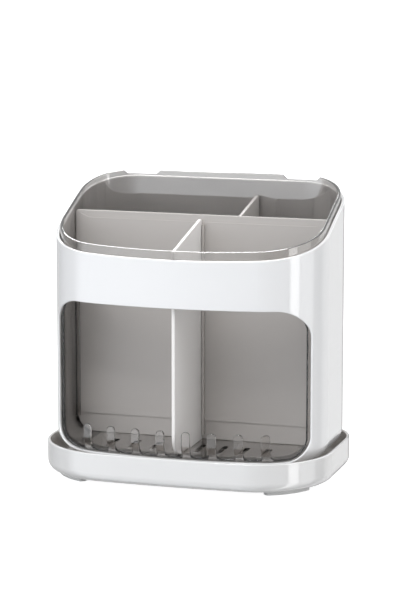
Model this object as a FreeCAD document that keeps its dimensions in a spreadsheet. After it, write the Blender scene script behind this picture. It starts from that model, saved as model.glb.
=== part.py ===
import FreeCAD, Part
import math
import os
from types import SimpleNamespace

import Sketcher

# Cutlery drainer: a drip tray on four feet, a white shell, a clear liner and three lift-out partitions.
# Millimetres. X runs to the right, Y to the back and Z up, from a point on the table under the tray's middle.

SIZES = {
    # Feet, which follow the tray's corners
    "foot_height": 3.0,
    "foot_length": 36.0,
    "foot_width": 6.0,
    "foot_inset": 8.5,
    "foot_corner_round": 1.5,
    # Drip tray, whose plan follows the shell's
    "tray_side_gap": 2.85,
    "tray_end_gap": 8.1,
    "tray_height": 22.0,
    "tray_wall": 2.4,
    "tray_floor": 2.4,
    "tray_bow_radius": 900.0,
    "tray_front_ease": 7.0,
    "tray_rear_ease": 11.0,
    "tray_round": 7.0,
    "tray_rim_round": 0.9,
    # Rests on the tray floor, which carry the shell
    "rest_height": 11.6,
    "rest_width": 4.0,
    "rest_length": 36.0,
    # Shell
    "shell_width": 208.0,
    "shell_depth": 132.0,
    "shell_wall": 2.5,
    "shell_bow_radius": 340.0,
    "shell_front_radius": 50.0,
    "shell_rear_radius": 39.0,
    "shell_front_height": 151.8,
    "shell_rear_height": 196.0,
    "shell_round": 15.0,
    "shell_rim_round": 0.8,
    "rim_hollow_radius": 335.0,
    "rim_crown_radius": 570.0,
    "flange_thickness": 2.5,
    "flange_width": 22.0,
    # Shell window
    "window_margin": 7.8,
    "window_band": 35.3,
    "window_sill": 4.2,
    "window_top_radius": 21.0,
    "window_bottom_radius": 17.8,
    "window_edge_round": 0.8,
    # Liner
    "liner_gap": 0.6,
    "liner_wall": 2.0,
    "liner_floor": 2.0,
    "liner_round_ease": 1.5,
    "liner_lip": 5.5,
    "liner_rim_round": 0.6,
    "liner_window_inset": 3.2,
    "liner_window_rise": 3.5,
    # Comb along the sill of the liner's window
    "comb_sill": 3.5,
    "tooth_count": 8,
    "tooth_width": 6.5,
    "tooth_height": 19.5,
    "tooth_tip_flat": 1.1,
    "tooth_root_round": 2.6,
    "comb_end_flat": 4.5,
    "comb_edge_round": 0.6,
    # Notches in the liner's rear rim
    "notch_offset": 63.5,
    "notch_width": 33.0,
    "notch_depth": 4.5,
    "notch_slope": 5.0,
    # Drain slots in the liner's floor
    "slot_count": 8,
    "slot_pitch": 17.0,
    "slot_width": 4.0,
    "slot_length": 24.0,
    "slot_front_offset": 22.0,
    "slot_rear_offset": 29.0,
    # Rails that hold the partitions
    "rail_thickness": 1.6,
    "rail_reach": 3.0,
    "rail_drop": 7.0,
    "slide_clearance": 0.4,
    # Cross partition
    "cross_offset": 10.0,
    "cross_height": 170.5,
    "partition_thickness": 2.5,
    "partition_round_ease": 2.5,
    "partition_tip_round": 2.0,
    "partition_edge_round": 0.6,
    "panel_thickness": 0.8,
    "panel_margin": 4.0,
    "panel_drop": 2.2,
    "panel_dip": 3.2,
    "panel_slope": 7.0,
    # Front partition
    "front_partition_front_height": 153.0,
    "front_partition_rear_height": 168.0,
    "front_partition_round_ease": 5.0,
    # Rear divider
    "divider_offset": 29.0,
    "divider_front_height": 170.0,
    "divider_rear_height": 180.0,
    # Overrun of every cut past the face that it leaves by
    "cut_overrun": 4.0,
}

doc = FreeCAD.newDocument("cutlery_drainer")
sheet = doc.addObject("Spreadsheet::Sheet", "Sizes")
for place, (alias, number) in enumerate(SIZES.items(), start=1):
    sheet.set("A{}".format(place), alias)
    sheet.set("B{}".format(place), str(number))
    sheet.setAlias("B{}".format(place), alias)
doc.recompute()


class Size:
    """A length with the sheet formula that gives it, so that sums of sizes keep both."""

    def __init__(self, value, formula):
        self.value = value
        self.formula = formula

    def combine(self, other, sign, value):
        formula = other.formula if isinstance(other, Size) else repr(other)
        return Size(value, "({} {} {})".format(self.formula, sign, formula))

    def __add__(self, other):
        return self.combine(other, "+", self.value + plain(other))

    def __sub__(self, other):
        return self.combine(other, "-", self.value - plain(other))

    def __mul__(self, other):
        return self.combine(other, "*", self.value * plain(other))

    def __truediv__(self, other):
        return self.combine(other, "/", self.value / plain(other))

    def __neg__(self):
        return Size(-self.value, "(-1 * {})".format(self.formula))

    def leg(self, other):
        """The other leg of a right triangle with this size as its long side."""
        value = math.sqrt(self.value ** 2 - other.value ** 2)
        return Size(value, "sqrt({0} * {0} - {1} * {1})".format(self.formula, other.formula))


def plain(size):
    """The number behind a size."""
    return size.value if isinstance(size, Size) else size


def bind(item, path, size):
    """Tie a property or a named constraint to the sheet."""
    item.setExpression(path, size.formula)


ZERO = Size(0.0, "0")
s = SimpleNamespace(**{alias: Size(float(sheet.get(alias)), "Sizes." + alias) for alias in SIZES})

# Heights above the table at which the pieces rest on each other
tray_base = s.foot_height
tray_top = tray_base + s.tray_height
rest_base = tray_base + s.tray_floor
shell_base = rest_base + s.rest_height
liner_base = shell_base + s.flange_thickness
bay_floor = liner_base + s.liner_floor

# Plans: outer sizes of the shell and the tray, and how far the liner's faces lie inside the shell
shell_plan = SimpleNamespace(
    width=s.shell_width, depth=s.shell_depth, bow=s.shell_bow_radius,
    front=s.shell_front_radius, rear=s.shell_rear_radius)
tray_plan = SimpleNamespace(
    width=s.shell_width + (s.tray_side_gap + s.tray_wall) * 2,
    depth=s.shell_depth + (s.tray_end_gap + s.tray_wall) * 2,
    bow=s.tray_bow_radius,
    front=s.shell_front_radius + s.tray_front_ease,
    rear=s.shell_rear_radius + s.tray_rear_ease)
liner_outside = s.shell_wall + s.liner_gap
liner_inside = liner_outside + s.liner_wall
bay_half_width = s.shell_width / 2 - liner_inside
bay_half_depth = s.shell_depth / 2 - liner_inside
rim_reach = s.shell_depth / 2 + s.cut_overrun
above_all = shell_base + s.shell_rear_height + s.liner_lip + s.cut_overrun

# Bottom rounds, each eased so that it clears the one that it stands in
liner_round = s.shell_round - s.shell_wall + s.liner_round_ease
bay_round = liner_round - s.liner_wall
partition_round = bay_round + s.partition_round_ease

# Windows of the shell and the liner, and the comb that fills the liner's sill between its two corners
window_half = s.shell_width / 2 - s.window_margin
window_low = shell_base + s.window_sill
window_head = shell_base + s.shell_front_height - s.window_band
liner_window_half = window_half - s.liner_window_inset
liner_window_head = window_head + s.liner_window_rise
liner_window_corner = s.window_bottom_radius - s.liner_window_inset
comb_low = liner_base + s.comb_sill
comb_tips = comb_low + s.tooth_height
half_tooth = s.tooth_width / 2
tooth_tip_round = (s.tooth_width - s.tooth_tip_flat) / 2
comb_end = liner_window_corner + s.comb_end_flat + s.tooth_root_round
last_tooth = liner_window_half - comb_end - half_tooth
tooth_pitch = last_tooth * 2 / (s.tooth_count - 1)

# Faces and edges of the partitions, and the tops of the rails that hold them
half_plate = s.partition_thickness / 2
cross_front = s.cross_offset - half_plate
cross_rear = s.cross_offset + half_plate
panel_front = cross_front - s.panel_thickness
groove_half = half_plate + s.slide_clearance
rail_top = shell_base + s.shell_front_height - s.rail_drop


def new_body(name):
    body = doc.addObject("PartDesign::Body", name)
    body.Label = name
    return body


def new_sketch(body, name, role, offset):
    """Sketch on one of the body's own planes, moved along the plane's normal."""
    sketch = body.newObject("Sketcher::SketchObject", name)
    plane = [item for item in body.Origin.OriginFeatures if item.Role == role][0]
    sketch.AttachmentSupport = [(plane, "")]
    sketch.MapMode = "FlatFace"
    bind(sketch, "AttachmentOffset.Base.z", offset)
    return sketch


def constrain(sketch, name, size, *arguments):
    """Dimension with a name of its own, tied to the sheet."""
    index = sketch.addConstraint(Sketcher.Constraint(*arguments, size.value))
    sketch.renameConstraint(index, name)
    bind(sketch, "Constraints." + name, size)


def tie(sketch, *arguments):
    sketch.addConstraint(Sketcher.Constraint(*arguments))


# Places on an edge, and the origin and upright axis of a sketch
START, END, CENTRE = range(1, 4)
ORIGIN = (-START, START)
V_AXIS = -END
UP = FreeCAD.Vector(0, 0, 1)


def arc(centre_x, centre_y, radius, start, end):
    circle = Part.Circle(FreeCAD.Vector(centre_x, centre_y, 0), UP, radius)
    return Part.ArcOfCircle(circle, start, end)


def line(x0, y0, x1, y1):
    return Part.LineSegment(FreeCAD.Vector(x0, y0, 0), FreeCAD.Vector(x1, y1, 0))


def corner_centre(plan, along):
    """Centre of a plan's right rear corner, or of its right front corner, which is tangent to the bow."""
    if along > 0:
        return plan.width / 2 - plan.rear, plan.depth / 2 - plan.rear
    across = plan.width / 2 - plan.front
    return across, plan.bow - plan.depth / 2 - (plan.bow - plan.front).leg(across)


def plan_sketch(body, name, height, plan, inset):
    """Rounded plan with a bowed front, at a height, moved in from the plan's outside by an inset."""
    sketch = new_sketch(body, name, "XY_Plane", height)
    half_width = plan.width / 2 - inset
    half_depth = plan.depth / 2 - inset
    bow = plan.bow - inset
    front = plan.front - inset
    rear = plan.rear - inset
    side = half_width.value
    back = half_depth.value
    bow_y = bow.value - back
    front_x, front_y = (place.value for place in corner_centre(plan, -1))
    swing = math.atan2(front_x, bow_y - front_y)
    rear_x, rear_y = (place.value for place in corner_centre(plan, 1))
    down = -math.pi / 2
    sketch.addGeometry([
        arc(0, bow_y, bow.value, down - swing, down + swing),
        arc(front_x, front_y, front.value, down + swing, 0),
        line(side, front_y, side, rear_y),
        arc(rear_x, rear_y, rear.value, 0, math.pi / 2),
        line(rear_x, back, -rear_x, back),
        arc(-rear_x, rear_y, rear.value, math.pi / 2, math.pi),
        line(-side, rear_y, -side, front_y),
        arc(-front_x, front_y, front.value, math.pi, 2 * math.pi + down - swing),
    ], False)
    bow_arc, right_front, right_side, right_rear, rear_line, left_rear, left_side, left_front = range(8)
    for edge in range(8):
        tie(sketch, "Tangent", edge, END, (edge + 1) % 8, START)
    tie(sketch, "Vertical", right_side)
    tie(sketch, "Vertical", left_side)
    tie(sketch, "Horizontal", rear_line)
    tie(sketch, "Equal", right_front, left_front)
    tie(sketch, "Equal", right_rear, left_rear)
    tie(sketch, "PointOnObject", bow_arc, CENTRE, V_AXIS)
    constrain(sketch, "right_half", half_width, "DistanceX", *ORIGIN, right_side, START)
    constrain(sketch, "left_half", half_width, "DistanceX", left_side, START, *ORIGIN)
    constrain(sketch, "rear_half", half_depth, "DistanceY", *ORIGIN, rear_line, START)
    constrain(sketch, "bow_centre", bow - half_depth, "DistanceY", *ORIGIN, bow_arc, CENTRE)
    constrain(sketch, "bow_radius", bow, "Radius", bow_arc)
    constrain(sketch, "front_radius", front, "Radius", right_front)
    constrain(sketch, "rear_radius", rear, "Radius", right_rear)
    return sketch


def rounded_outline(sketch, corners):
    """Closed outline through corners of (across, up, radius), with each corner that has a radius rounded."""
    first = sketch.GeometryCount
    tag = "g{}".format(first)
    spots = [FreeCAD.Vector(across.value, up.value, 0) for across, up, radius in corners]
    count = len(corners)
    trims = []
    for index, (across, up, radius) in enumerate(corners):
        back = (spots[index - 1] - spots[index]).normalize()
        ahead = (spots[(index + 1) % count] - spots[index]).normalize()
        half = back.getAngle(ahead) / 2
        reach = radius.value / math.tan(half) if radius else 0.0
        trims.append((spots[index] + back * reach, spots[index] + ahead * reach, back, ahead, half))
    for index in range(count):
        start = trims[index][1]
        end = trims[(index + 1) % count][0]
        sketch.addGeometry(Part.LineSegment(start, end), False)
    for index, (across, up, radius) in enumerate(corners):
        before = first + (index - 1) % count
        after = first + index
        point = sketch.addGeometry(Part.Point(spots[index]), True)
        constrain(sketch, "{}_x{}".format(tag, index), across, "DistanceX", *ORIGIN, point, START)
        constrain(sketch, "{}_y{}".format(tag, index), up, "DistanceY", *ORIGIN, point, START)
        if not radius:
            tie(sketch, "Coincident", before, END, point, START)
            tie(sketch, "Coincident", after, START, point, START)
            continue
        enter, leave, back, ahead, half = trims[index]
        centre = spots[index] + (back + ahead).normalize() * (radius.value / math.sin(half))
        middle = centre + (spots[index] - centre).normalize() * radius.value
        bend = sketch.addGeometry(Part.Arc(enter, middle, leave), False)
        begin = sketch.getPoint(bend, START)
        forwards = begin.distanceToPoint(enter) < begin.distanceToPoint(leave)
        entry, leaving = (START, END) if forwards else (END, START)
        tie(sketch, "Tangent", before, END, bend, entry)
        tie(sketch, "Tangent", bend, leaving, after, START)
        tie(sketch, "PointOnObject", point, START, before)
        tie(sketch, "PointOnObject", point, START, after)
        constrain(sketch, "{}_r{}".format(tag, index), radius, "Radius", bend)


def box_outline(sketch, left, right, low, high, radius=None):
    rounded_outline(sketch, [
        (left, low, radius),
        (right, low, radius),
        (right, high, radius),
        (left, high, radius),
    ])


def bulge(start, end, radius, side):
    """Arc between two points, bent to one side of its chord."""
    chord = end - start
    across = FreeCAD.Vector(-chord.y, chord.x, 0).normalize() * side
    depth = radius - math.sqrt(radius ** 2 - (chord.Length / 2) ** 2)
    return Part.Arc(start, start + chord / 2 + across * depth, end)


def rim_sketch(body, name, lift):
    """Everything above the rim, which is a hollow arc and a crown arc that rise to the back."""
    sketch = new_sketch(body, name, "YZ_Plane", ZERO)
    half_depth = s.shell_depth / 2
    front = shell_base + s.shell_front_height + lift
    rear = shell_base + s.shell_rear_height + lift
    top = above_all + lift
    reach = rim_reach.value
    low = FreeCAD.Vector(-reach, front.value, 0)
    high = FreeCAD.Vector(reach, rear.value, 0)
    turn = (low + high) / 2
    sketch.addGeometry([
        bulge(low, turn, s.rim_hollow_radius.value, -1),
        bulge(turn, high, s.rim_crown_radius.value, 1),
        line(reach, rear.value, reach, top.value),
        line(reach, top.value, -reach, top.value),
        line(-reach, top.value, -reach, front.value),
    ], False)
    hollow_arc, crown_arc, back_edge, top_edge, front_edge = range(5)
    front_mark = sketch.addGeometry(Part.Point(FreeCAD.Vector(-half_depth.value, front.value, 0)), True)
    rear_mark = sketch.addGeometry(Part.Point(FreeCAD.Vector(half_depth.value, rear.value, 0)), True)
    # The hollow arc runs anticlockwise from the front, the crown arc anticlockwise from the back
    tie(sketch, "Tangent", hollow_arc, END, crown_arc, END)
    tie(sketch, "Coincident", crown_arc, START, back_edge, START)
    tie(sketch, "Coincident", back_edge, END, top_edge, START)
    tie(sketch, "Coincident", top_edge, END, front_edge, START)
    tie(sketch, "Coincident", front_edge, END, hollow_arc, START)
    tie(sketch, "Vertical", back_edge)
    tie(sketch, "Horizontal", top_edge)
    tie(sketch, "Vertical", front_edge)
    tie(sketch, "PointOnObject", hollow_arc, END, V_AXIS)
    tie(sketch, "PointOnObject", front_mark, START, hollow_arc)
    tie(sketch, "PointOnObject", rear_mark, START, crown_arc)
    constrain(sketch, "front_reach", rim_reach, "DistanceX", hollow_arc, START, *ORIGIN)
    constrain(sketch, "rear_reach", rim_reach, "DistanceX", *ORIGIN, crown_arc, START)
    constrain(sketch, "front_face", half_depth, "DistanceX", front_mark, START, *ORIGIN)
    constrain(sketch, "rear_face", half_depth, "DistanceX", *ORIGIN, rear_mark, START)
    constrain(sketch, "front_height", front, "DistanceY", *ORIGIN, front_mark, START)
    constrain(sketch, "rear_height", rear, "DistanceY", *ORIGIN, rear_mark, START)
    constrain(sketch, "top_height", top, "DistanceY", *ORIGIN, top_edge, START)
    constrain(sketch, "hollow_radius", s.rim_hollow_radius, "Radius", hollow_arc)
    constrain(sketch, "crown_radius", s.rim_crown_radius, "Radius", crown_arc)
    return sketch


def grow(body, sketch, length, both_ways=False, reverse=False):
    """Pad along the sketch's normal, or both ways from it."""
    pad = body.newObject("PartDesign::Pad", sketch.Name + "_pad")
    pad.Profile = sketch
    pad.SideType = "Symmetric" if both_ways else "One side"
    pad.Reversed = reverse
    bind(pad, "Length", length)
    doc.recompute()
    return pad


def cut(body, sketch, length, both_ways=False, reverse=False):
    """Pocket against the sketch's normal, or with it when reversed. It must remove something."""
    before = body.Shape.Volume
    pocket = body.newObject("PartDesign::Pocket", sketch.Name + "_cut")
    pocket.Profile = sketch
    pocket.SideType = "Symmetric" if both_ways else "One side"
    pocket.Reversed = reverse
    bind(pocket, "Length", length)
    doc.recompute()
    if not pocket.Shape.Volume < before:
        raise RuntimeError("{} cuts nothing".format(pocket.Name))
    return pocket


def repeat(body, feature, count, pitch):
    """Repeat a feature along X, with its first copy at the left end."""
    pattern = body.newObject("PartDesign::LinearPattern", feature.Name + "_row")
    pattern.Originals = [feature]
    axis = [item for item in body.Origin.OriginFeatures if item.Role == "X_Axis"][0]
    pattern.Direction = (axis, [""])
    bind(pattern, "Occurrences", count)
    bind(pattern, "Length", pitch * (count - 1))
    body.Tip = pattern
    doc.recompute()
    return pattern


def round_edges(body, feature, name, radius, chosen):
    """Fillet the edges of a feature that the test chooses."""
    edges = enumerate(feature.Shape.Edges, start=1)
    names = ["Edge{}".format(index) for index, edge in edges if chosen(edge)]
    if not names:
        raise RuntimeError("{} finds no edge".format(name))
    fillet = body.newObject("PartDesign::Fillet", name)
    fillet.Base = (feature, names)
    bind(fillet, "Radius", radius)
    doc.recompute()
    return fillet


EDGE_SAMPLES = 5
NEAR_SHARE = 1e-5


def samples(edge):
    return edge.discretize(EDGE_SAMPLES)


def near(distance):
    return abs(distance) < s.shell_width.value * NEAR_SHARE


def at_height(height):
    return lambda edge: all(near(point.z - height.value) for point in samples(edge))


def upright(edge):
    """Test for edges that run straight up."""
    points = samples(edge)
    return all(near(point.x - points[0].x) and near(point.y - points[0].y) for point in points)


def on_rim(sketch):
    """Test for edges that lie on the rim's two arcs."""
    hollow_arc, crown_arc = sketch.Geometry[:2]

    def off_rim(point):
        bend = hollow_arc if point.y < 0 else crown_arc
        return math.hypot(point.y - bend.Center.x, point.z - bend.Center.y) - bend.Radius

    return lambda edge: all(near(off_rim(point)) for point in samples(edge))


def on_window(half_width, sill, head, low_radius, high_radius):
    """Test for edges that run along a window's outline, apart from the seams across its wall."""

    def off_outline(point):
        high = point.z > head - high_radius
        radius = high_radius if high else low_radius
        centre_x = half_width - radius
        centre_z = head - radius if high else sill + radius
        cornered = abs(point.x) > centre_x and (high or point.z < centre_z)
        if cornered:
            return math.hypot(abs(point.x) - centre_x, point.z - centre_z) - radius
        return max(abs(point.x) - half_width, point.z - head, sill - point.z)

    def runs_along(edge):
        points = samples(edge)
        seam = all(near(point.x - points[0].x) and near(point.z - points[0].z) for point in points)
        return not seam and points[0].y < 0 and all(near(off_outline(point)) for point in points)

    return runs_along


def cut_through(shape, half_width, low, high):
    """Test for the edges of front openings, where a face cut straight through meets the wall."""

    def straight(face):
        first, last, bottom, top = face.ParameterRange
        return near(face.normalAt((first + last) / 2, (bottom + top) / 2).y * s.shell_width.value)

    def borders(edge):
        points = samples(edge)
        beyond = (max(abs(point.x) - half_width, low - point.z, point.z - high, point.y) for point in points)
        if any(excess > s.shell_width.value * NEAR_SHARE for excess in beyond):
            return False
        return sum(straight(face) for face in shape.ancestorsOfType(edge, Part.Face)) == 1

    return borders


def on_faces(axis, *places):
    """Test for edges that lie in one of the planes square to an axis."""
    return lambda edge: any(all(near(getattr(point, axis) - place.value) for point in samples(edge))
                            for place in places)


def hollow(body, inside, height, radius, floor):
    """Open hollow above a floor, with its bottom edge rounded before the outside is."""
    well = cut(body, inside, height, reverse=True)
    return round_edges(body, well, inside.Name + "_round", radius, at_height(floor))


def drip_tray():
    body = new_body("drip_tray")
    grow(body, plan_sketch(body, "tray_outside", tray_base, tray_plan, ZERO), s.tray_height)
    well = plan_sketch(body, "tray_well", rest_base, tray_plan, s.tray_wall)
    sharp = hollow(body, well, s.tray_height, s.tray_round - s.tray_wall, rest_base)
    rounded = round_edges(body, sharp, "tray_bottom_round", s.tray_round, at_height(tray_base))
    round_edges(body, rounded, "tray_rim_edges", s.tray_rim_round, at_height(tray_top))
    # Rests stand under the middle of the shell's flat flange
    rests = new_sketch(body, "shell_rests", "XY_Plane", rest_base)
    flat_middle = (s.shell_round + s.shell_wall + s.flange_width) / 2
    side = s.shell_width / 2 - flat_middle
    back = s.shell_depth / 2 - flat_middle
    half_rest = s.rest_width / 2
    half_length = s.rest_length / 2
    for middle in (-side, side):
        box_outline(rests, middle - half_rest, middle + half_rest, -half_length, half_length)
    for middle in (-back, back):
        box_outline(rests, -half_length, half_length, middle - half_rest, middle + half_rest)
    grow(body, rests, s.rest_height)
    return body


def foot(name, across, along):
    """Low curved pad under one corner of the tray, drawn about the corner's centre with its ends parallel."""
    body = new_body(name)
    outline = new_sketch(body, name + "_outline", "XY_Plane", ZERO)
    corner = tray_plan.rear if along > 0 else tray_plan.front
    outer = corner - s.foot_inset
    inner = outer - s.foot_width
    half = s.foot_length / 2
    outer_y = outer.leg(half).value
    inner_y = inner.leg(half).value
    outer_angle = math.atan2(outer_y, half.value)
    inner_angle = math.atan2(inner_y, half.value)
    outline.addGeometry([
        arc(0, 0, outer.value, outer_angle, math.pi - outer_angle),
        line(-half.value, outer_y, -half.value, inner_y),
        arc(0, 0, inner.value, inner_angle, math.pi - inner_angle),
        line(half.value, inner_y, half.value, outer_y),
    ], False)
    outer_arc, left_end, inner_arc, right_end = range(4)
    tie(outline, "Coincident", outer_arc, CENTRE, *ORIGIN)
    tie(outline, "Coincident", inner_arc, CENTRE, *ORIGIN)
    tie(outline, "Coincident", outer_arc, END, left_end, START)
    tie(outline, "Coincident", left_end, END, inner_arc, END)
    tie(outline, "Coincident", inner_arc, START, right_end, START)
    tie(outline, "Coincident", right_end, END, outer_arc, START)
    tie(outline, "Vertical", left_end)
    tie(outline, "Vertical", right_end)
    constrain(outline, "outer_radius", outer, "Radius", outer_arc)
    constrain(outline, "inner_radius", inner, "Radius", inner_arc)
    constrain(outline, "left_half", half, "DistanceX", left_end, START, *ORIGIN)
    constrain(outline, "right_half", half, "DistanceX", *ORIGIN, right_end, START)
    pad = grow(body, outline, s.foot_height)
    round_edges(body, pad, name + "_corners", s.foot_corner_round, upright)
    facing = math.degrees(math.atan2(-across, along))
    body.Placement = FreeCAD.Placement(FreeCAD.Vector(), FreeCAD.Rotation(UP, facing))
    centre_x, centre_y = corner_centre(tray_plan, along)
    bind(body, "Placement.Base.x", centre_x * across)
    bind(body, "Placement.Base.y", centre_y)
    doc.recompute()
    return body


def shell():
    body = new_body("shell")
    height = s.shell_rear_height + s.cut_overrun
    grow(body, plan_sketch(body, "shell_outside", shell_base, shell_plan, ZERO), height)
    inside = plan_sketch(body, "shell_hollow", liner_base, shell_plan, s.shell_wall)
    sharp = hollow(body, inside, height, s.shell_round - s.shell_wall, liner_base)
    round_edges(body, sharp, "shell_bottom_round", s.shell_round, at_height(shell_base))
    flange_inside = s.shell_wall + s.flange_width
    mouth = plan_sketch(body, "flange_mouth", shell_base, shell_plan, flange_inside)
    cut(body, mouth, s.flange_thickness + s.cut_overrun, reverse=True)
    profile = rim_sketch(body, "shell_rim", ZERO)
    rim = cut(body, profile, s.shell_width + s.cut_overrun, both_ways=True)
    round_edges(body, rim, "shell_rim_edges", s.shell_rim_round, on_rim(profile))
    window = new_sketch(body, "shell_window", "XZ_Plane", ZERO)
    rounded_outline(window, [
        (-window_half, window_low, s.window_bottom_radius),
        (window_half, window_low, s.window_bottom_radius),
        (window_half, window_head, s.window_top_radius),
        (-window_half, window_head, s.window_top_radius),
    ])
    opened = cut(body, window, s.shell_depth / 2 + s.cut_overrun, reverse=True)
    outline = on_window(window_half.value, window_low.value, window_head.value,
                        s.window_bottom_radius.value, s.window_top_radius.value)
    round_edges(body, opened, "shell_window_edges", s.window_edge_round, outline)
    return body


def gap_outline(sketch, left, right):
    """Gap between two teeth, from the sill up past their tips, with rounded tips and roots."""
    above = comb_tips + s.cut_overrun
    rounded_outline(sketch, [
        (left, above, None),
        (left, comb_tips, None),
        (left + half_tooth, comb_tips, tooth_tip_round),
        (left + half_tooth, comb_low, s.tooth_root_round),
        (right - half_tooth, comb_low, s.tooth_root_round),
        (right - half_tooth, comb_tips, tooth_tip_round),
        (right, comb_tips, None),
        (right, above, None),
    ])


def end_outline(sketch, sign):
    """Gap between the last tooth and the side of the liner's window."""
    above = comb_tips + s.cut_overrun
    last = last_tooth * sign
    face = (last_tooth + half_tooth) * sign
    side = liner_window_half * sign
    rounded_outline(sketch, [
        (last, above, None),
        (last, comb_tips, None),
        (face, comb_tips, tooth_tip_round),
        (face, comb_low, s.tooth_root_round),
        (side, comb_low, liner_window_corner),
        (side, above, None),
    ])


def liner_window(body):
    """Window in the liner's front wall with a comb of teeth along its sill."""
    reach = s.shell_depth / 2 + s.cut_overrun
    upper = new_sketch(body, "liner_window_upper", "XZ_Plane", ZERO)
    rounded_outline(upper, [
        (-liner_window_half, comb_tips, None),
        (liner_window_half, comb_tips, None),
        (liner_window_half, liner_window_head, s.window_top_radius),
        (-liner_window_half, liner_window_head, s.window_top_radius),
    ])
    cut(body, upper, reach, reverse=True)
    ends = new_sketch(body, "comb_ends", "XZ_Plane", ZERO)
    for sign in (-1, 1):
        end_outline(ends, sign)
    cut(body, ends, reach, reverse=True)
    gap = new_sketch(body, "comb_gap", "XZ_Plane", ZERO)
    gap_outline(gap, -last_tooth, tooth_pitch - last_tooth)
    first = cut(body, gap, reach, reverse=True)
    comb = repeat(body, first, s.tooth_count - 1, tooth_pitch)
    borders = cut_through(comb.Shape, liner_window_half.value, comb_low.value, liner_window_head.value)
    return round_edges(body, comb, "liner_window_edges", s.comb_edge_round, borders)


def rear_notches(body):
    """Two shallow notches with sloped sides in the liner's rear rim."""
    sketch = new_sketch(body, "rear_notches", "XZ_Plane", ZERO)
    rim = shell_base + s.shell_rear_height + s.liner_lip
    low = rim - s.notch_depth
    top = rim + s.cut_overrun
    half = s.notch_width / 2
    for sign in (-1, 1):
        inner = (s.notch_offset - half) * sign
        outer = (s.notch_offset + half) * sign
        slope = s.notch_slope * sign
        rounded_outline(sketch, [
            (inner, top, None),
            (inner, rim, None),
            (inner + slope, low, s.notch_slope / 2),
            (outer - slope, low, s.notch_slope / 2),
            (outer, rim, None),
            (outer, top, None),
        ])
    return cut(body, sketch, s.shell_depth / 2 + s.cut_overrun)


def drain_slots(body):
    """Two rows of slots through the liner's floor."""
    sketch = new_sketch(body, "drain_slots", "XY_Plane", bay_floor)
    leftmost = -(s.slot_pitch * (s.slot_count - 1) / 2)
    half_width = s.slot_width / 2
    half_length = s.slot_length / 2
    for middle in (-s.slot_front_offset, s.slot_rear_offset):
        box_outline(sketch, leftmost - half_width, leftmost + half_width,
                    middle - half_length, middle + half_length, s.slot_width / 3)
    first = cut(body, sketch, s.liner_floor + s.cut_overrun)
    return repeat(body, first, s.slot_count, s.slot_pitch)


def liner_rails(body):
    """Pairs of rails for the cross partition on the side walls, and for the two dividers on the end walls."""
    bury = s.liner_wall / 2
    # The wall rails start where the bottom round has run out into the upright wall
    wall_foot = bay_floor + bay_round
    rails = new_sketch(body, "wall_rails", "XY_Plane", wall_foot)
    outer_half = groove_half + s.rail_thickness
    for sign in (-1, 1):
        wall = (bay_half_width + bury) * sign
        tip = (bay_half_width - s.rail_reach) * sign
        left, right = (wall, tip) if sign < 0 else (tip, wall)
        for edge in (s.cross_offset - outer_half, s.cross_offset + groove_half):
            box_outline(rails, left, right, edge, edge + s.rail_thickness)
    rear = bay_half_depth - s.rail_reach
    for edge in (s.divider_offset - outer_half, s.divider_offset + groove_half):
        box_outline(rails, edge, edge + s.rail_thickness, rear, bay_half_depth + bury)
    grow(body, rails, rail_top - wall_foot)
    # The front wall is cut away by the window, so its rails hang between the window's head and the rim
    band = new_sketch(body, "band_rails", "XY_Plane", liner_window_head + s.rail_drop)
    front = -bay_half_depth + s.rail_reach
    for edge in (-outer_half, groove_half):
        box_outline(band, edge, edge + s.rail_thickness, -bay_half_depth - bury, front)
    grow(body, band, rail_top - liner_window_head - s.rail_drop)


def liner():
    body = new_body("liner")
    height = s.shell_rear_height - s.flange_thickness + s.liner_lip + s.cut_overrun
    grow(body, plan_sketch(body, "liner_outside", liner_base, shell_plan, liner_outside), height)
    inside = plan_sketch(body, "liner_hollow", bay_floor, shell_plan, liner_inside)
    sharp = hollow(body, inside, height, bay_round, bay_floor)
    round_edges(body, sharp, "liner_bottom_round", liner_round, at_height(liner_base))
    profile = rim_sketch(body, "liner_rim", s.liner_lip)
    rim = cut(body, profile, s.shell_width + s.cut_overrun, both_ways=True)
    round_edges(body, rim, "liner_rim_edges", s.liner_rim_round, on_rim(profile))
    rear_notches(body)
    liner_window(body)
    drain_slots(body)
    liner_rails(body)
    return body


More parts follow.
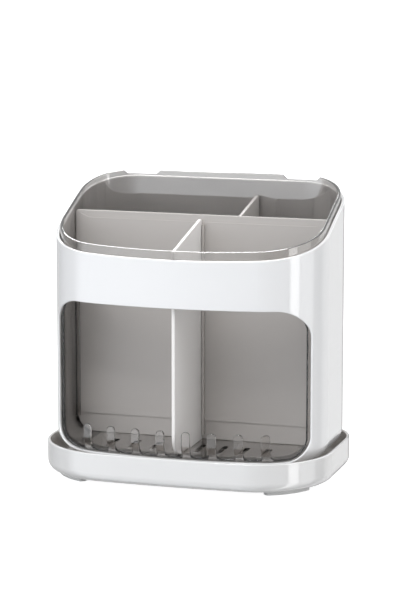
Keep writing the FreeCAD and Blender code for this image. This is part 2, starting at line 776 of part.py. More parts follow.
def cross_partition():
    """Plate across the liner with a raised front panel and grooved ribs for the two dividers."""
    body = new_body("cross_partition")
    plate = new_sketch(body, "cross_plate", "XZ_Plane", -s.cross_offset)
    half_width = bay_half_width - s.slide_clearance
    top = bay_floor + s.cross_height
    rounded_outline(plate, [
        (-half_width, bay_floor, partition_round),
        (half_width, bay_floor, partition_round),
        (half_width, top, s.partition_tip_round),
        (-half_width, top, s.partition_tip_round),
    ])
    sharp = grow(body, plate, s.partition_thickness, both_ways=True)
    round_edges(body, sharp, "cross_edges", s.partition_edge_round, on_faces("y", cross_front, cross_rear))
    panel = new_sketch(body, "cross_panel", "XZ_Plane", -cross_front)
    panel_half = bay_half_width - s.rail_reach - s.slide_clearance * 2
    panel_low = bay_floor + partition_round
    panel_top = top - s.panel_drop
    panel_dip = panel_top - s.panel_dip
    dip_half = panel_half - s.panel_slope
    rounded_outline(panel, [
        (-panel_half, panel_low, None),
        (panel_half, panel_low, None),
        (panel_half, panel_top, None),
        (dip_half, panel_dip, s.panel_slope),
        (-dip_half, panel_dip, s.panel_slope),
        (-panel_half, panel_top, None),
    ])
    grow(body, panel, s.panel_thickness)
    ribs = new_sketch(body, "cross_ribs", "XY_Plane", bay_floor + s.panel_margin)
    for edge in (-groove_half - s.rail_thickness, groove_half):
        box_outline(ribs, edge, edge + s.rail_thickness, panel_front - s.rail_reach, s.cross_offset)
    for edge in (s.divider_offset - groove_half - s.rail_thickness, s.divider_offset + groove_half):
        box_outline(ribs, edge, edge + s.rail_thickness, s.cross_offset, cross_rear + s.rail_reach)
    grow(body, ribs, s.cross_height - s.panel_margin - s.rail_drop)
    return body


def front_partition():
    """Plate between the two front bays, from the front wall back to the cross partition."""
    body = new_body("front_partition")
    plate = new_sketch(body, "front_plate", "YZ_Plane", ZERO)
    front = -bay_half_depth + s.slide_clearance
    rear = panel_front - s.slide_clearance
    rounded_outline(plate, [
        (front, bay_floor, bay_round + s.front_partition_round_ease),
        (rear, bay_floor, None),
        (rear, bay_floor + s.front_partition_rear_height, s.partition_tip_round),
        (front, bay_floor + s.front_partition_front_height, s.partition_tip_round),
    ])
    sharp = grow(body, plate, s.partition_thickness, both_ways=True)
    round_edges(body, sharp, "front_edges", s.partition_edge_round, on_faces("x", -half_plate, half_plate))
    return body


def rear_divider():
    """Plate between the two rear bays, from the cross partition back to the rear wall."""
    body = new_body("rear_divider")
    plate = new_sketch(body, "divider_plate", "YZ_Plane", s.divider_offset)
    front = cross_rear + s.slide_clearance
    rear = bay_half_depth - s.slide_clearance
    rounded_outline(plate, [
        (front, bay_floor, None),
        (rear, bay_floor, partition_round),
        (rear, bay_floor + s.divider_rear_height, s.partition_tip_round),
        (front, bay_floor + s.divider_front_height, s.partition_tip_round),
    ])
    sharp = grow(body, plate, s.partition_thickness, both_ways=True)
    faces = on_faces("x", s.divider_offset - half_plate, s.divider_offset + half_plate)
    round_edges(body, sharp, "divider_edges", s.partition_edge_round, faces)
    return body


pieces = [
    drip_tray(),
    foot("foot_front_left", -1, -1),
    foot("foot_front_right", 1, -1),
    foot("foot_rear_left", -1, 1),
    foot("foot_rear_right", 1, 1),
    shell(),
    liner(),
    cross_partition(),
    front_partition(),
    rear_divider(),
]
doc.recompute()

for item in doc.Objects:
    if "Invalid" in item.State or "Error" in item.State:
        raise RuntimeError("{} failed: {}".format(item.Name, item.State))
for piece in pieces:
    if piece.Shape.isNull() or not piece.Shape.isValid() or len(piece.Shape.Solids) != 1:
        raise RuntimeError("{} has no single valid solid".format(piece.Label))

os.makedirs("parts", exist_ok=True)
for piece in pieces:
    piece.Shape.exportStep("parts/{}.step".format(piece.Label))
    print("{:18s} {:.0f} mm3".format(piece.Label, piece.Shape.Volume))
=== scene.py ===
"""Finishes, stage and camera for the cutlery drainer, laid out as an add-on and run as a script."""
import math

import bpy
import numpy as np
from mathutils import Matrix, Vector

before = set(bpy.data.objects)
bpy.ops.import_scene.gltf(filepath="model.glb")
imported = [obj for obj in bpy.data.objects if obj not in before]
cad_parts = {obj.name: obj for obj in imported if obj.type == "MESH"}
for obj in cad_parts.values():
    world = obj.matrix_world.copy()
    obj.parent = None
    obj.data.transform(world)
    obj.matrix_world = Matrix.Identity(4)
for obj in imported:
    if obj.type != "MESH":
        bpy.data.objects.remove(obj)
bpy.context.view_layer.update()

bl_info = {
    "name": "Cutlery Drainer Finishes",
    "version": (1, 0, 0),
    "blender": (4, 5, 0),
    "location": "View3D > Sidebar > Drainer",
    "description": "Dresses the moulded pieces of a cutlery drainer and sets its studio stage",
    "category": "Object",
}

IMAGE_SIZE = (401, 601)
SENSOR = 0.036
FEET = ("foot_front_left", "foot_front_right", "foot_rear_left", "foot_rear_right")

# Gloss of the plastics
PLASTIC_IOR = 1.49
CLEAR_IOR = 1.57
WHITE_COAT = {"Coat Weight": 0.9, "Coat IOR": 1.65}
CLEAR_COAT = {"Coat IOR": 1.72, "Coat Roughness": 0.02}
RELIEF = 0.0002

# Frequencies of the skin's and the water marks' patterns, per metre
FLOW_SCALE, CLOUD_SCALE, PEEL_SCALE, CELL_SCALE = 14.0, 60.0, 520.0, 190.0

# Limits of the painted shade in grey on the tray's inside: turn to the middle, height and tilt of the floor,
# oval around the rests
INWARD_TURN = (-0.01, -0.03)
FLOOR_HEIGHT = (0.0125, 0.0115)
FLOOR_TILT = (0.1, 0.3)
RESTS_OVAL = (0.095, 0.060)
RESTS_EDGE = (1.05, 1.0)
RESTS_HEIGHT = (0.0042, 0.0050)
# Divisor that takes the height out of the oval
FAR = 1.0e6

# Heights between which the liner's polish grows from the comb's share to the rim's
POLISH_HEIGHT = (0.120, 0.150)
COMB_POLISH, RIM_POLISH = 0.4, 1.0

# Height range of the liner's water marks
WATER_RANGE = {"Low": 0.020, "High": 0.075}

# Floor's half width, front, back, radius of the turn-up and height
SWEEP = (24.0, -24.0, 8.0, 2.0, 12.0)

# Azimuths in degrees between which each softbox's left edge fades in and its right edge fades out
SOFTBOXES = {
    "key": (-80, -56, -36, 28),
    "strip": (60, 63, 77, 80),
    "side": (79, 82, 107, 111),
    "rear": (126, 140, 170, 178),
    "back": (-178, -170, -140, -118),
}
# Heights of a direction at which the softboxes end and the ceiling begins
WALLS_END = (0.95, 0.8)
CEILING_START = (0.25, 0.5)

# Place and size of the two lamps
LAMP_TARGET = (0.0, 0.0, 0.1)
HIGH_LAMP = {"place": (-0.1, -1.05, 1.25), "size": (0.4, 0.3)}
REAR_LAMP = {"place": (-0.5, 1.2, 0.9), "size": (0.6, 0.5)}


def colour_prop(name, description, default):
    """Linear colour that a user may change."""
    return bpy.props.FloatVectorProperty(
        name=name, description=description, default=default, subtype="COLOR", size=3, min=0.0, max=1.0)


def share_prop(name, description, default):
    """Plain share between none and all."""
    return bpy.props.FloatProperty(
        name=name, description=description, default=default, subtype="FACTOR", min=0.0, max=1.0)


def level_prop(name, description, default):
    """Brightness of a part of the studio."""
    return bpy.props.FloatProperty(name=name, description=description, default=default, min=0.0)


class DrainerFinishes(bpy.types.PropertyGroup):
    """Colours and gloss of the mouldings."""

    shell_white: colour_prop("Shell white", "White of the shell", (0.83, 0.833, 0.842))
    # Painted shade: the tray is the shell's white plastic, made greyer to stand for the shade low down
    tray_white_painted_shade: colour_prop("Tray white, painted shade", "White of the tray's outside, greyed as painted shade", (0.75, 0.748, 0.746))
    partition_white: colour_prop("Partition white", "White of the front partition", (0.90, 0.882, 0.868))
    # Painted shade: the cross partition and the rear divider are white plastic, darkened to stand for the
    # shade inside
    cross_white_painted_shade: colour_prop(
        "Cross white, painted shade", "White of the cross partition and the rear divider, darkened as painted shade", (0.53, 0.503, 0.482))
    smoke_tint: colour_prop("Smoke tint", "Tint of the clear liner", (0.82, 0.796, 0.775))
    # Painted shade: grey that darkens the white inside of the tray
    tray_painted_shade: colour_prop("Tray painted shade", "Painted shade in grey on the tray's inside", (0.66, 0.625, 0.595))
    pad_grey: colour_prop("Pad grey", "Grey of the feet", (0.76, 0.76, 0.75))
    gloss: share_prop("Gloss roughness", "Roughness of the polished white mouldings", 0.16)
    satin: share_prop("Satin roughness", "Roughness of the partitions", 0.34)
    clear_roughness: share_prop("Clear roughness", "Roughness of the clear liner", 0.04)


class DrainerStage(bpy.types.PropertyGroup):
    """Camera, floor and lights."""

    azimuth: bpy.props.FloatProperty(
        name="Azimuth", description="Turn of the camera to the right of the front",
        default=math.radians(16.99), subtype="ANGLE")
    elevation: bpy.props.FloatProperty(
        name="Elevation", description="Height of the camera above the horizon",
        default=math.radians(10.0), subtype="ANGLE")
    camera_place: bpy.props.FloatVectorProperty(
        name="Camera place", description="Where the camera stands",
        default=(0.5395, -1.7582, 0.4530), subtype="TRANSLATION", unit="LENGTH", precision=4)
    focal_pixels: bpy.props.FloatProperty(
        name="Focal length", description="Focal length in pixels of the picture", default=2511.8)
    floor_white: colour_prop("Floor white", "White of the floor and the backdrop", (0.55, 0.55, 0.55))
    floor_glow: share_prop("Floor glow", "Light that the lit-through floor gives off itself", 0.9)
    surround: level_prop("Surround", "Brightness of the room between the softboxes", 0.31)
    key_level: level_prop("Key", "Brightness of the broad softbox at the front left", 1.35)
    strip_level: level_prop("Strip", "Brightness of the narrow softbox on the right", 2.6)
    side_level: level_prop("Side", "Brightness of the panel behind the narrow softbox", 0.85)
    rear_level: level_prop("Rear", "Brightness of the panel at the right rear", 0.6)
    back_level: level_prop("Back", "Brightness of the panel at the left rear", 0.3)
    top_level: level_prop("Top", "Brightness of the ceiling", 0.34)
    key_tint: colour_prop("Key tint", "Tint of the broad softbox", (0.92, 0.955, 1.0))
    high_power: bpy.props.FloatProperty(
        name="High power", description="Power of the lamp high at the front", default=4.8, min=0.0,
        unit="POWER")
    behind_power: bpy.props.FloatProperty(
        name="Rear power", description="Power of the lamp at the left rear", default=4.5, min=0.0,
        unit="POWER")


def add(nodes, kind, place, **values):
    """New node at a place in the editor, with its plain values set."""
    node = nodes.new(kind)
    node.location = place
    for name, value in values.items():
        setattr(node, name, value)
    return node


def new_group(name, inputs, outputs):
    """Empty node group with named sockets, and its input and output nodes."""
    group = bpy.data.node_groups.new(name, "ShaderNodeTree")
    for label, kind, default in inputs:
        socket = group.interface.new_socket(name=label, in_out="INPUT", socket_type=kind)
        if default is not None:
            socket.default_value = default
    for label, kind in outputs:
        group.interface.new_socket(name=label, in_out="OUTPUT", socket_type=kind)
    entry = add(group.nodes, "NodeGroupInput", (-900, 0))
    leave = add(group.nodes, "NodeGroupOutput", (900, 0))
    return group, entry, leave


def maths(group, operation, place, first, second, clamp=False):
    """Maths node fed by sockets or plain numbers."""
    node = add(group.nodes, "ShaderNodeMath", place, operation=operation, use_clamp=clamp)
    for socket, value in zip(node.inputs, (first, second)):
        if isinstance(value, (int, float)):
            socket.default_value = value
        else:
            group.links.new(value, socket)
    return node.outputs[0]


def noise(group, vector, place, scale, detail, roughness=0.5):
    """Noise field of a given frequency per metre."""
    node = add(group.nodes, "ShaderNodeTexNoise", place)
    node.inputs["Scale"].default_value = scale
    node.inputs["Detail"].default_value = detail
    node.inputs["Roughness"].default_value = roughness
    group.links.new(vector, node.inputs["Vector"])
    return node.outputs["Fac"]


def stretched(group, vector, place, scale, turn):
    """Vector turned and stretched, for streaks."""
    node = add(group.nodes, "ShaderNodeMapping", place)
    node.inputs["Scale"].default_value = scale
    node.inputs["Rotation"].default_value = turn
    group.links.new(vector, node.inputs["Vector"])
    return node.outputs["Vector"]


def ramp(group, value, place, low, high):
    """Smooth step from 0 at low to 1 at high."""
    node = add(group.nodes, "ShaderNodeMapRange", place, interpolation_type="SMOOTHSTEP")
    node.inputs["From Min"].default_value = low
    node.inputs["From Max"].default_value = high
    group.links.new(value, node.inputs["Value"])
    return node.outputs["Result"]


def moulded_skin():
    """Moulded plastic: slow drift of colour, orange-peel height and cloudy gloss, from three noise fields."""
    group, entry, leave = new_group("Moulded skin", [
        ("Vector", "NodeSocketVector", None),
        ("Tint", "NodeSocketColor", None),
        ("Drift", "NodeSocketFloat", 0.03),
        ("Gloss", "NodeSocketFloat", 0.2),
        ("Haze", "NodeSocketFloat", 0.06),
    ], [
        ("Colour", "NodeSocketColor"),
        ("Roughness", "NodeSocketFloat"),
        ("Height", "NodeSocketFloat"),
    ])
    vector = entry.outputs["Vector"]
    flow = noise(group, vector, (-600, 300), FLOW_SCALE, 3.0)
    peel = noise(group, vector, (-600, -300), PEEL_SCALE, 2.0)
    cloud = noise(group, vector, (-600, 0), CLOUD_SCALE, 4.0, 0.6)
    drift = maths(group, "MULTIPLY", (-300, 300), maths(group, "SUBTRACT", (-450, 300), flow, 0.5),
                  entry.outputs["Drift"])
    value = maths(group, "ADD", (-150, 300), drift, 1.0)
    shade = add(group.nodes, "ShaderNodeHueSaturation", (200, 300))
    group.links.new(value, shade.inputs["Value"])
    group.links.new(entry.outputs["Tint"], shade.inputs["Color"])
    haze = maths(group, "MULTIPLY", (-150, 0), maths(group, "SUBTRACT", (-300, 0), cloud, 0.5),
                 entry.outputs["Haze"])
    gloss = maths(group, "ADD", (200, 0), haze, entry.outputs["Gloss"], clamp=True)
    group.links.new(shade.outputs["Color"], leave.inputs["Colour"])
    group.links.new(gloss, leave.inputs["Roughness"])
    group.links.new(peel, leave.inputs["Height"])
    return group


def hairline_scuffs():
    """Fine handling scuffs: two stretched noise fields, turned against each other, cut to thin streaks."""
    group, entry, leave = new_group("Hairline scuffs", [
        ("Vector", "NodeSocketVector", None),
        ("Amount", "NodeSocketFloat", 0.1),
    ], [("Mask", "NodeSocketFloat")])
    vector = entry.outputs["Vector"]
    streaks = []
    for row, turn in enumerate(((0.3, 0.0, 0.5), (-0.5, 0.4, -0.9))):
        lean = stretched(group, vector, (-700, -300 * row), (30.0, 30.0, 900.0), turn)
        field = noise(group, lean, (-500, -300 * row), 1.0, 2.0)
        streaks.append(ramp(group, field, (-250, -300 * row), 0.62, 0.72))
    both = maths(group, "MAXIMUM", (0, 0), streaks[0], streaks[1])
    patches = ramp(group, noise(group, vector, (-500, -700), 35.0, 2.0), (-250, -700), 0.45, 0.65)
    mask = maths(group, "MULTIPLY", (200, 0), both, patches)
    group.links.new(maths(group, "MULTIPLY", (400, 0), mask, entry.outputs["Amount"]), leave.inputs["Mask"])
    return group


def water_marks():
    """Dried water: rings and dots from cells, thicker towards the floor of the piece."""
    group, entry, leave = new_group("Water marks", [
        ("Vector", "NodeSocketVector", None),
        ("Low", "NodeSocketFloat", 0.0),
        ("High", "NodeSocketFloat", 0.05),
        ("Amount", "NodeSocketFloat", 0.1),
    ], [("Mask", "NodeSocketFloat")])
    vector = entry.outputs["Vector"]
    cells = add(group.nodes, "ShaderNodeTexVoronoi", (-600, 0), feature="F1")
    cells.inputs["Scale"].default_value = CELL_SCALE
    group.links.new(vector, cells.inputs["Vector"])
    ring = maths(group, "SUBTRACT", (-250, 0), ramp(group, cells.outputs["Distance"], (-420, 0), 0.36, 0.30),
                 ramp(group, cells.outputs["Distance"], (-420, -250), 0.30, 0.22), clamp=True)
    split = add(group.nodes, "ShaderNodeSeparateXYZ", (-600, -500))
    group.links.new(vector, split.inputs["Vector"])
    span = maths(group, "SUBTRACT", (-420, -700), entry.outputs["High"], entry.outputs["Low"])
    above = maths(group, "SUBTRACT", (-420, -500), entry.outputs["High"], split.outputs["Z"])
    low = maths(group, "DIVIDE", (-250, -500), above, span, clamp=True)
    wet = maths(group, "MULTIPLY", (0, 0), ring, low)
    group.links.new(maths(group, "MULTIPLY", (300, 0), wet, entry.outputs["Amount"]), leave.inputs["Mask"])
    return group


def group_of(name, maker):
    """A node group by name, made on its first use."""
    return bpy.data.node_groups.get(name) or maker()


def place_group(tree, name, maker, place, vector, **values):
    """Put a node group in a material, fed with the piece's own coordinates and its own values."""
    node = add(tree.nodes, "ShaderNodeGroup", place, node_tree=group_of(name, maker))
    tree.links.new(vector, node.inputs["Vector"])
    for label, value in values.items():
        node.inputs[label].default_value = value
    return node


def rgba(colour):
    """Colour with full cover."""
    return (*colour, 1.0)


def plain_tree(name):
    """New material with its tree, shader and object coordinates."""
    material = bpy.data.materials.new(name)
    material.use_nodes = True
    tree = material.node_tree
    shader = tree.nodes["Principled BSDF"]
    shader.location = (600, 0)
    tree.nodes["Material Output"].location = (900, 0)
    coords = add(tree.nodes, "ShaderNodeTexCoord", (-900, 0)).outputs["Object"]
    return material, tree, shader, coords


def bump(tree, height, shader, strength, distance):
    """Fine relief on the shader's normal."""
    node = add(tree.nodes, "ShaderNodeBump", (350, -350))
    node.inputs["Strength"].default_value = strength
    node.inputs["Distance"].default_value = distance
    tree.links.new(height, node.inputs["Height"])
    tree.links.new(node.outputs["Normal"], shader.inputs["Normal"])


def set_inputs(shader, values):
    """Set plain values on the shader's own sockets."""
    for name, value in values.items():
        shader.inputs[name].default_value = value


def moulded_material(name, tint, gloss, drift, haze, scuffs, relief):
    """Opaque moulded plastic with scuffs over its gloss."""
    material, tree, shader, coords = plain_tree(name)
    skin = place_group(tree, "Moulded skin", moulded_skin, (-400, 100), coords,
                       Tint=rgba(tint), Drift=drift, Gloss=gloss, Haze=haze)
    marks = place_group(tree, "Hairline scuffs", hairline_scuffs, (-400, -250), coords, Amount=scuffs)
    dull = add(tree.nodes, "ShaderNodeMath", (100, -100), operation="ADD", use_clamp=True)
    tree.links.new(skin.outputs["Roughness"], dull.inputs[0])
    tree.links.new(marks.outputs["Mask"], dull.inputs[1])
    tree.links.new(skin.outputs["Colour"], shader.inputs["Base Color"])
    tree.links.new(dull.outputs[0], shader.inputs["Roughness"])
    bump(tree, skin.outputs["Height"], shader, 0.12, relief)
    return material, tree, shader, coords, skin


def dress(names, material):
    """Give CAD pieces a finish."""
    for name in names:
        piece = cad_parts[name]
        piece.data.materials.clear()
        piece.data.materials.append(material)


class DRAINER_OT_shell(bpy.types.Operator):
    """Polished white finish of the shell"""

    bl_idname = "drainer.shell"
    bl_label = "Dress the Shell"

    def execute(self, context):
        look = context.scene.drainer_finishes
        material, tree, shader, coords, skin = moulded_material(
            "shell polished white", look.shell_white, look.gloss,
            drift=0.03, haze=0.05, scuffs=0.10, relief=RELIEF)
        set_inputs(shader, {"IOR": PLASTIC_IOR, **WHITE_COAT, "Coat Roughness": 0.04})
        dress(("shell",), material)
        return {"FINISHED"}


class DRAINER_OT_tray(bpy.types.Operator):
    """White tray with painted shade in warm grey on its inside, on soft feet"""

    bl_idname = "drainer.tray"
    bl_label = "Dress the Tray"

    def execute(self, context):
        look = context.scene.drainer_finishes
        # Painted shade: a greyer white than the shell's
        material, tree, shader, coords, skin = moulded_material(
            "tray polished white", look.tray_white_painted_shade, look.gloss,
            drift=0.03, haze=0.05, scuffs=0.12, relief=RELIEF)
        set_inputs(shader, {"IOR": PLASTIC_IOR, **WHITE_COAT, "Coat Roughness": 0.05})
        self.paint_shade_inside(tree, shader, coords, skin, look)
        dress(("drip_tray",), material)
        pads, tree, shader, coords, skin = moulded_material(
            "foot soft pad", look.pad_grey, 0.6, drift=0.06, haze=0.12, scuffs=0.0, relief=2 * RELIEF)
        dress(FEET, pads)
        return {"FINISHED"}

    @staticmethod
    def paint_shade_inside(tree, shader, coords, skin, look):
        """Painted shade: warm grey where the face looks towards the tray's middle, on the floor and on the
        rests.
        """
        geometry = add(tree.nodes, "ShaderNodeNewGeometry", (-900, 500))
        flat_place = add(tree.nodes, "ShaderNodeVectorMath", (-700, 400), operation="MULTIPLY")
        flat_place.inputs[1].default_value = (1.0, 1.0, 0.0)
        tree.links.new(coords, flat_place.inputs[0])
        facing = add(tree.nodes, "ShaderNodeVectorMath", (-500, 450), operation="DOT_PRODUCT")
        tree.links.new(flat_place.outputs["Vector"], facing.inputs[0])
        tree.links.new(geometry.outputs["Normal"], facing.inputs[1])
        inward = ramp(tree, facing.outputs["Value"], (-300, 450), *INWARD_TURN)
        place = add(tree.nodes, "ShaderNodeSeparateXYZ", (-700, 700))
        tree.links.new(coords, place.inputs["Vector"])
        normal = add(tree.nodes, "ShaderNodeSeparateXYZ", (-700, 950))
        tree.links.new(geometry.outputs["Normal"], normal.inputs["Vector"])
        low = ramp(tree, place.outputs["Z"], (-500, 700), *FLOOR_HEIGHT)
        upward = ramp(tree, normal.outputs["Z"], (-500, 950), *FLOOR_TILT)
        floor = maths(tree, "MULTIPLY", (-300, 800), low, upward)
        oval = add(tree.nodes, "ShaderNodeVectorMath", (-700, 1250), operation="DIVIDE")
        oval.inputs[1].default_value = (*RESTS_OVAL, FAR)
        tree.links.new(coords, oval.inputs[0])
        reach = add(tree.nodes, "ShaderNodeVectorMath", (-500, 1250), operation="LENGTH")
        tree.links.new(oval.outputs["Vector"], reach.inputs[0])
        around = ramp(tree, reach.outputs["Value"], (-300, 1250), *RESTS_EDGE)
        above = ramp(tree, place.outputs["Z"], (-300, 1500), *RESTS_HEIGHT)
        rests = maths(tree, "MULTIPLY", (-100, 1250), around, above)
        inside = maths(tree, "MAXIMUM", (200, 600), inward, maths(tree, "MAXIMUM", (0, 900), floor, rests))
        # Painted shade: the grey skin that the mask lays on the tray's white inside
        shade_skin = place_group(tree, "Moulded skin", moulded_skin, (-100, 300), coords,
                           Tint=rgba(look.tray_painted_shade), Drift=0.08, Gloss=look.gloss, Haze=0.05)
        mix = add(tree.nodes, "ShaderNodeMix", (350, 400), data_type="RGBA")
        tree.links.new(inside, mix.inputs["Factor"])
        tree.links.new(skin.outputs["Colour"], mix.inputs["A"])
        tree.links.new(shade_skin.outputs["Colour"], mix.inputs["B"])
        tree.links.new(mix.outputs["Result"], shader.inputs["Base Color"])


class DRAINER_OT_liner(bpy.types.Operator):
    """Clear smoke finish of the liner"""

    bl_idname = "drainer.liner"
    bl_label = "Dress the Liner"

    def execute(self, context):
        look = context.scene.drainer_finishes
        material, tree, shader, coords = plain_tree("liner smoke clear")
        skin = place_group(tree, "Moulded skin", moulded_skin, (-400, 100), coords,
                           Tint=rgba(look.smoke_tint), Drift=0.05, Gloss=look.clear_roughness, Haze=0.03)
        marks = place_group(tree, "Water marks", water_marks, (-400, -250), coords,
                            Amount=0.12, **WATER_RANGE)
        dull = add(tree.nodes, "ShaderNodeMath", (100, -100), operation="ADD", use_clamp=True)
        tree.links.new(skin.outputs["Roughness"], dull.inputs[0])
        tree.links.new(marks.outputs["Mask"], dull.inputs[1])
        tree.links.new(skin.outputs["Colour"], shader.inputs["Base Color"])
        tree.links.new(dull.outputs[0], shader.inputs["Roughness"])
        set_inputs(shader, {"IOR": CLEAR_IOR, "Transmission Weight": 1.0, **CLEAR_COAT})
        self.polish_rim(tree, shader, coords)
        bump(tree, skin.outputs["Height"], shader, 0.08, RELIEF)
        dress(("liner",), material)
        return {"FINISHED"}

    @staticmethod
    def polish_rim(tree, shader, coords):
        """Full polish on the rim and less on the comb, which handles rub."""
        place = add(tree.nodes, "ShaderNodeSeparateXYZ", (-400, -600))
        tree.links.new(coords, place.inputs["Vector"])
        high = ramp(tree, place.outputs["Z"], (-200, -600), *POLISH_HEIGHT)
        gain = maths(tree, "MULTIPLY", (0, -600), high, RIM_POLISH - COMB_POLISH)
        tree.links.new(maths(tree, "ADD", (200, -600), gain, COMB_POLISH), shader.inputs["Coat Weight"])


class DRAINER_OT_partitions(bpy.types.Operator):
    """Satin whites of the cross partition and the two dividers; the cross partition and the rear divider get
    a darker white as painted shade
    """

    bl_idname = "drainer.partitions"
    bl_label = "Dress the Partitions"

    def execute(self, context):
        look = context.scene.drainer_finishes
        for name, tint, pieces in (
                ("partition satin white", look.partition_white, ("front_partition",)),
                # Painted shade: a darker copy of the white for the pieces deep inside
                ("partition white painted shade", look.cross_white_painted_shade, ("cross_partition", "rear_divider"))):
            material, tree, shader, coords, skin = moulded_material(
                name, tint, look.satin, drift=0.04, haze=0.08, scuffs=0.12, relief=RELIEF)
            set_inputs(shader, {"IOR": PLASTIC_IOR})
            dress(pieces, material)
        return {"FINISHED"}


def grid_mesh(name, points):
    """Mesh of a grid of points, rows by columns by three, with a face for each four neighbours."""
    rows, columns = points.shape[:2]
    index = np.arange(rows * columns).reshape(rows, columns)
    faces = np.stack([index[:-1, :-1], index[:-1, 1:], index[1:, 1:], index[1:, :-1]], axis=-1).reshape(-1, 4)
    mesh = bpy.data.meshes.new(name)
    mesh.from_pydata(points.reshape(-1, 3).tolist(), [], faces.tolist())
    mesh.polygons.foreach_set("use_smooth", np.ones(len(faces), dtype=bool))
    mesh.update()
    piece = bpy.data.objects.new(name, mesh)
    bpy.context.scene.collection.objects.link(piece)
    return piece


def sweep_points(half_width, front, back, radius, height):
    """Floor that turns up into a backdrop: a flat run, a quarter circle and an upright run, carried along X.

    With t along the profile, the quarter is (back + radius sin t, radius - radius cos t).
    """
    turn = np.linspace(0.0, math.pi / 2, 24)
    along = np.concatenate([[front], back + radius * np.sin(turn), [back + radius]])
    up = np.concatenate([[0.0], radius - radius * np.cos(turn), [height]])
    across = np.linspace(-half_width, half_width, 3)
    grid_x, grid_y = np.meshgrid(across, along)
    grid_z = np.repeat(up[:, None], len(across), axis=1)
    return np.stack([grid_x, grid_y, grid_z], axis=-1)


def area_light(name, facts, power):
    """White rectangular soft light that faces the drainer."""
    light = bpy.data.lights.new(name, "AREA")
    light.shape = "RECTANGLE"
    light.size, light.size_y = facts["size"]
    light.energy = power
    lamp = bpy.data.objects.new(name, light)
    lamp.location = facts["place"]
    lamp.rotation_euler = (Vector(LAMP_TARGET) - lamp.location).to_track_quat("-Z", "Y").to_euler()
    bpy.context.scene.collection.objects.link(lamp)


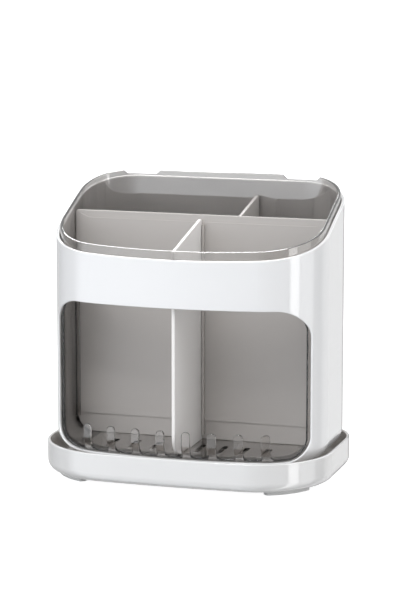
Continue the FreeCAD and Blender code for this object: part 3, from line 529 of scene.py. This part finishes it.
class DRAINER_OT_stage(bpy.types.Operator):
    """Pale floor, soft studio lights and the camera"""

    bl_idname = "drainer.stage"
    bl_label = "Set the Stage"

    def execute(self, context):
        stage = context.scene.drainer_stage
        self.floor(stage)
        self.lights(context, stage)
        self.camera(context, stage)
        context.scene.view_settings.view_transform = "Standard"
        return {"FINISHED"}

    @staticmethod
    def floor(stage):
        sweep = grid_mesh("stage_floor", sweep_points(*SWEEP))
        material, tree, shader, coords = plain_tree("stage white")
        skin = place_group(tree, "Moulded skin", moulded_skin, (-400, 100), coords,
                           Tint=rgba(stage.floor_white), Drift=0.01, Gloss=0.8, Haze=0.1)
        tree.links.new(skin.outputs["Colour"], shader.inputs["Base Color"])
        tree.links.new(skin.outputs["Roughness"], shader.inputs["Roughness"])
        set_inputs(shader, {"Specular IOR Level": 0.1, "Emission Color": (1.0, 1.0, 1.0, 1.0)})
        # The glow whitens the background without lighting the piece from below
        seen = add(tree.nodes, "ShaderNodeLightPath", (-400, -400)).outputs["Is Camera Ray"]
        tree.links.new(maths(tree, "MULTIPLY", (-100, -400), seen, stage.floor_glow),
                       shader.inputs["Emission Strength"])
        sweep.data.materials.append(material)
        # Gloss shows the softboxes down to the foot of the piece, as in a light tent
        sweep.visible_glossy = False

    @staticmethod
    def lights(context, stage):
        """Studio of softboxes by direction: azimuth from the front to the right, and height."""
        world = bpy.data.worlds.new("studio")
        world.use_nodes = True
        tree = world.node_tree
        background = tree.nodes["Background"]
        split = add(tree.nodes, "ShaderNodeSeparateXYZ", (-1500, 0))
        direction = add(tree.nodes, "ShaderNodeTexCoord", (-1700, 0)).outputs["Generated"]
        tree.links.new(direction, split.inputs["Vector"])
        ahead = maths(tree, "MULTIPLY", (-1300, 0), split.outputs["Y"], -1.0)
        azimuth = maths(tree, "ARCTAN2", (-1100, 0), split.outputs["X"], ahead)

        def panel(name, row, level):
            """Softbox whose left edge and right edge each fade between two azimuths."""
            left_out, left_in, right_in, right_out = (math.radians(turn) for turn in SOFTBOXES[name])
            left = ramp(tree, azimuth, (-900, row), left_out, left_in)
            right = ramp(tree, azimuth, (-900, row - 250), right_out, right_in)
            both = maths(tree, "MULTIPLY", (-700, row), left, right)
            return maths(tree, "MULTIPLY", (-500, row), both, level)

        key = panel("key", 600, stage.key_level)
        strip = panel("strip", 0, stage.strip_level)
        side = panel("side", -600, stage.side_level)
        rear = panel("rear", -1800, stage.rear_level)
        back = panel("back", -2400, stage.back_level)
        height = split.outputs["Z"]
        walls = ramp(tree, height, (-900, -1200), *WALLS_END)
        ceiling = maths(tree, "MULTIPLY", (-500, -1500), ramp(tree, height, (-900, -1500), *CEILING_START),
                        stage.top_level)
        room = maths(tree, "ADD", (-300, -1200), ceiling, stage.surround)
        beside = maths(tree, "ADD", (-300, -300), maths(tree, "ADD", (-400, -300), strip, side),
                       maths(tree, "ADD", (-400, -1800), rear, back))
        right = maths(tree, "MULTIPLY", (-100, -300), beside, walls)
        neutral = maths(tree, "ADD", (100, -300), right, room)
        cool = maths(tree, "MULTIPLY", (-100, 600), key, walls)
        tinted = add(tree.nodes, "ShaderNodeVectorMath", (100, 600), operation="SCALE")
        tinted.inputs[0].default_value = stage.key_tint
        tree.links.new(cool, tinted.inputs["Scale"])
        total = add(tree.nodes, "ShaderNodeVectorMath", (300, 200), operation="ADD")
        tree.links.new(tinted.outputs["Vector"], total.inputs[0])
        tree.links.new(neutral, total.inputs[1])
        background.location, tree.nodes["World Output"].location = (500, 200), (700, 200)
        tree.links.new(total.outputs["Vector"], background.inputs["Color"])
        context.scene.world = world
        area_light("high softbox", HIGH_LAMP, stage.high_power)
        area_light("rear softbox", REAR_LAMP, stage.behind_power)

    @staticmethod
    def camera(context, stage):
        data = bpy.data.cameras.new("camera")
        data.sensor_fit = "AUTO"
        data.sensor_width = SENSOR * 1000
        data.lens = stage.focal_pixels / max(IMAGE_SIZE) * SENSOR * 1000
        data.clip_start, data.clip_end = 0.05, 50.0
        data.dof.use_dof = False
        camera = bpy.data.objects.new("camera", data)
        level = math.cos(stage.elevation)
        look = Vector((-math.sin(stage.azimuth) * level, math.cos(stage.azimuth) * level,
                       -math.sin(stage.elevation)))
        camera.location = stage.camera_place
        camera.rotation_euler = look.to_track_quat("-Z", "Y").to_euler()
        context.scene.collection.objects.link(camera)
        context.scene.camera = camera


OPERATORS = (DRAINER_OT_shell, DRAINER_OT_tray, DRAINER_OT_liner, DRAINER_OT_partitions, DRAINER_OT_stage)


class DRAINER_PT_panel(bpy.types.Panel):
    """Sidebar list of the finishes and the stage"""

    bl_idname = "DRAINER_PT_panel"
    bl_label = "Cutlery Drainer"
    bl_space_type = "VIEW_3D"
    bl_region_type = "UI"
    bl_category = "Drainer"

    def draw(self, context):
        layout = self.layout
        for group in (context.scene.drainer_finishes, context.scene.drainer_stage):
            for name in type(group).__annotations__:
                layout.prop(group, name)
        for operator in OPERATORS:
            layout.operator(operator.bl_idname)


CLASSES = (DrainerFinishes, DrainerStage, *OPERATORS, DRAINER_PT_panel)


def register():
    for item in CLASSES:
        bpy.utils.register_class(item)
    bpy.types.Scene.drainer_finishes = bpy.props.PointerProperty(type=DrainerFinishes)
    bpy.types.Scene.drainer_stage = bpy.props.PointerProperty(type=DrainerStage)


def unregister():
    del bpy.types.Scene.drainer_stage
    del bpy.types.Scene.drainer_finishes
    for item in reversed(CLASSES):
        bpy.utils.unregister_class(item)


def main():
    register()
    bpy.ops.drainer.shell()
    bpy.ops.drainer.tray()
    bpy.ops.drainer.liner()
    bpy.ops.drainer.partitions()
    bpy.ops.drainer.stage()


if __name__ == "__main__":
    main()
